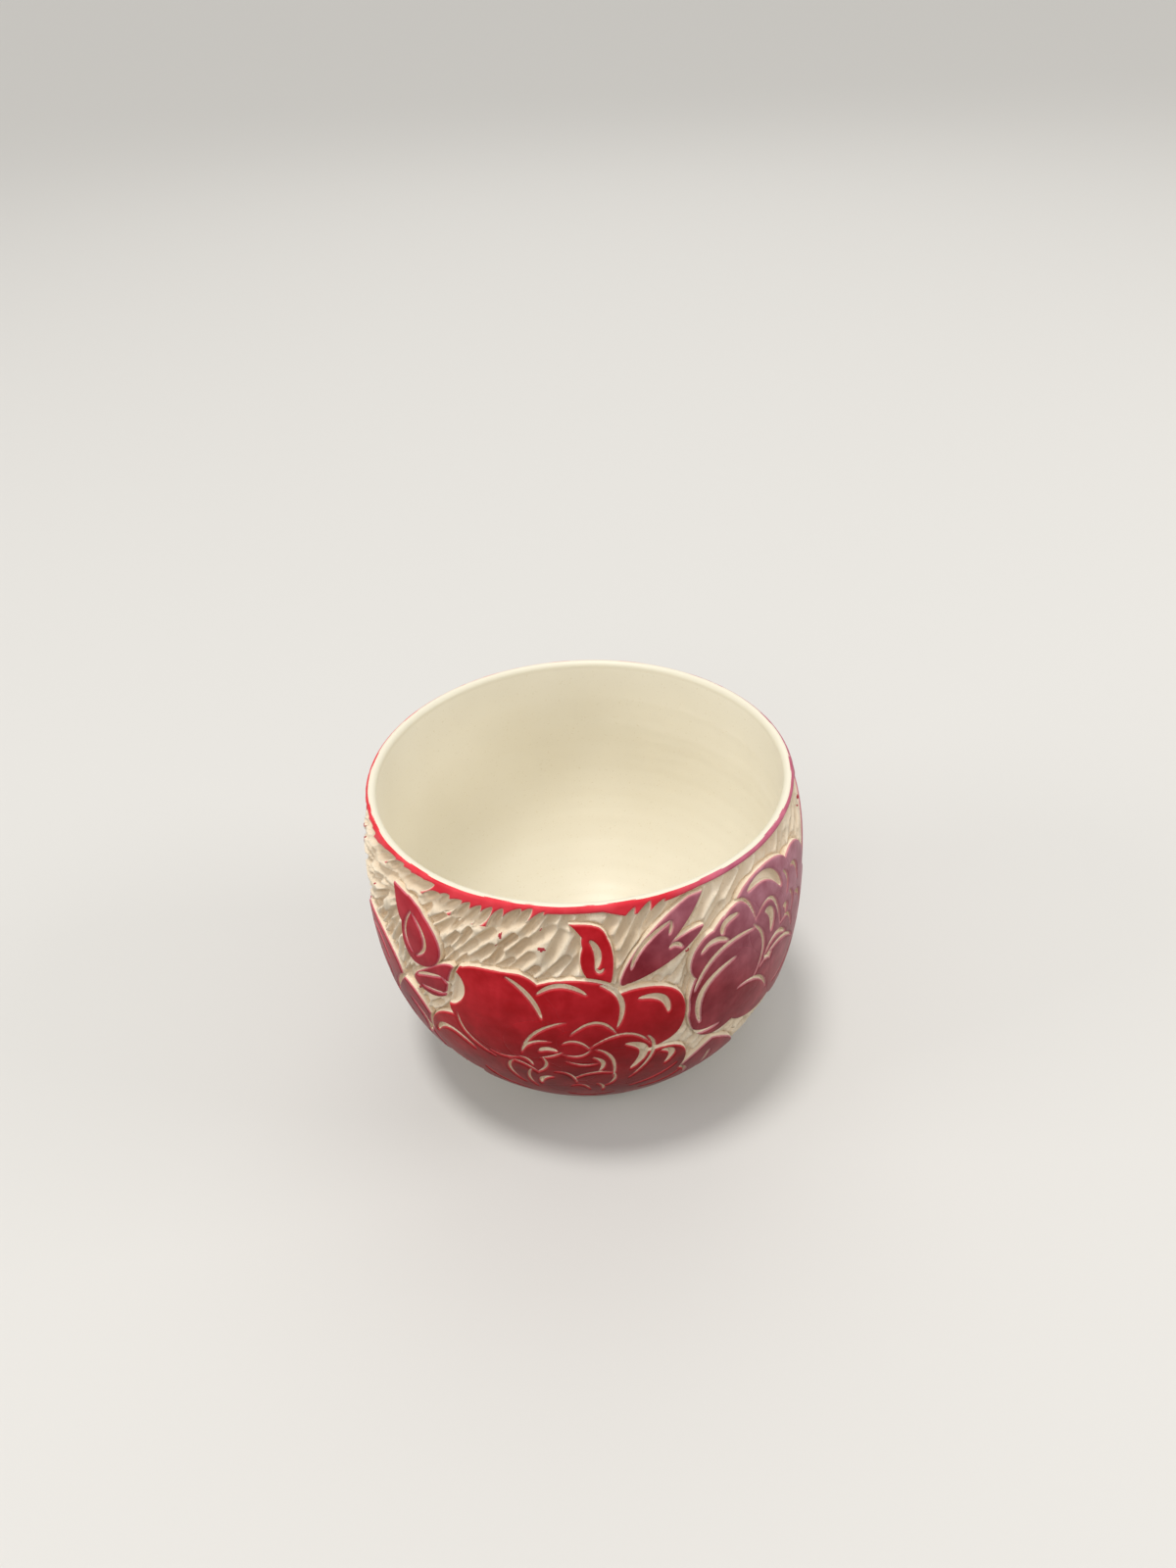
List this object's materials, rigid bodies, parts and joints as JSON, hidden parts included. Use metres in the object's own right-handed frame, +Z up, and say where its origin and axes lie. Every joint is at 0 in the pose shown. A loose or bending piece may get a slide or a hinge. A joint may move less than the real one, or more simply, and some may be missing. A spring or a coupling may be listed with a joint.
{
  "type": "handleless ceramic beaker",
  "caption": "Round-bellied handleless stoneware cup with coloured slip carved into peonies and leaves, a trimmed foot and a glazed inside.",
  "frame": {"origin": "middle of the foot, on the surface that the cup stands on", "axes": "+Z up along the axis that the cup was thrown on, -Y towards the red peony at the front, +X to the right of it"},
  "size_m": [0.0854, 0.0852, 0.064],
  "materials": {
    "clay": "bare fired cream stoneware, matte, with gouge marks",
    "glaze": "clear gloss glaze over cream clay",
    "slip_band": "bright red slip, satin",
    "slip_red": "deep red slip, satin",
    "slip_rose": "crimson rose slip, satin",
    "slip_plum": "plum slip, satin"
  },
  "bodies": {
    "root": {"clay_body": "clay", "glaze_lining": "glaze", "rim_slip_band": "slip_band", "red_heart_core": "slip_red", "red_heart_right": "slip_red", "red_heart_left": "slip_red", "red_heart_top": "slip_red", "red_heart_crest": "slip_red", "red_heart_low": "slip_red", "red_petal_left": "slip_red", "red_petal_top": "slip_red", "red_petal_right": "slip_red", "red_petal_far_right": "slip_red", "red_petal_low": "slip_red", "red_petal_low_left": "slip_red", "red_petal_low_right": "slip_red", "red_petal_far_left": "slip_red", "plum_heart_core": "slip_plum", "plum_heart_crest": "slip_plum", "plum_heart_right": "slip_plum", "plum_petal_left": "slip_plum", "plum_petal_upper_left": "slip_plum", "plum_petal_top": "slip_plum", "plum_petal_small": "slip_plum", "plum_petal_right": "slip_plum", "plum_petal_low_right": "slip_plum", "plum_petal_low_left": "slip_plum", "plum_petal_far_right": "slip_plum", "rose_heart": "slip_rose", "rose_corolla": "slip_rose", "back_red_heart": "slip_red", "back_red_corolla": "slip_red", "back_plum_heart": "slip_plum", "back_plum_corolla": "slip_plum", "leaf_bud": "slip_rose", "leaf_bud_low": "slip_rose", "leaf_curled": "slip_red", "leaf_broad": "slip_plum", "leaf_low": "slip_plum", "leaf_side_up": "slip_plum", "leaf_side_low": "slip_red", "leaf_back_up": "slip_rose", "leaf_back_low": "slip_plum", "leaf_left_up": "slip_red", "leaf_left_low": "slip_rose"}
  },
  "joints": []
}
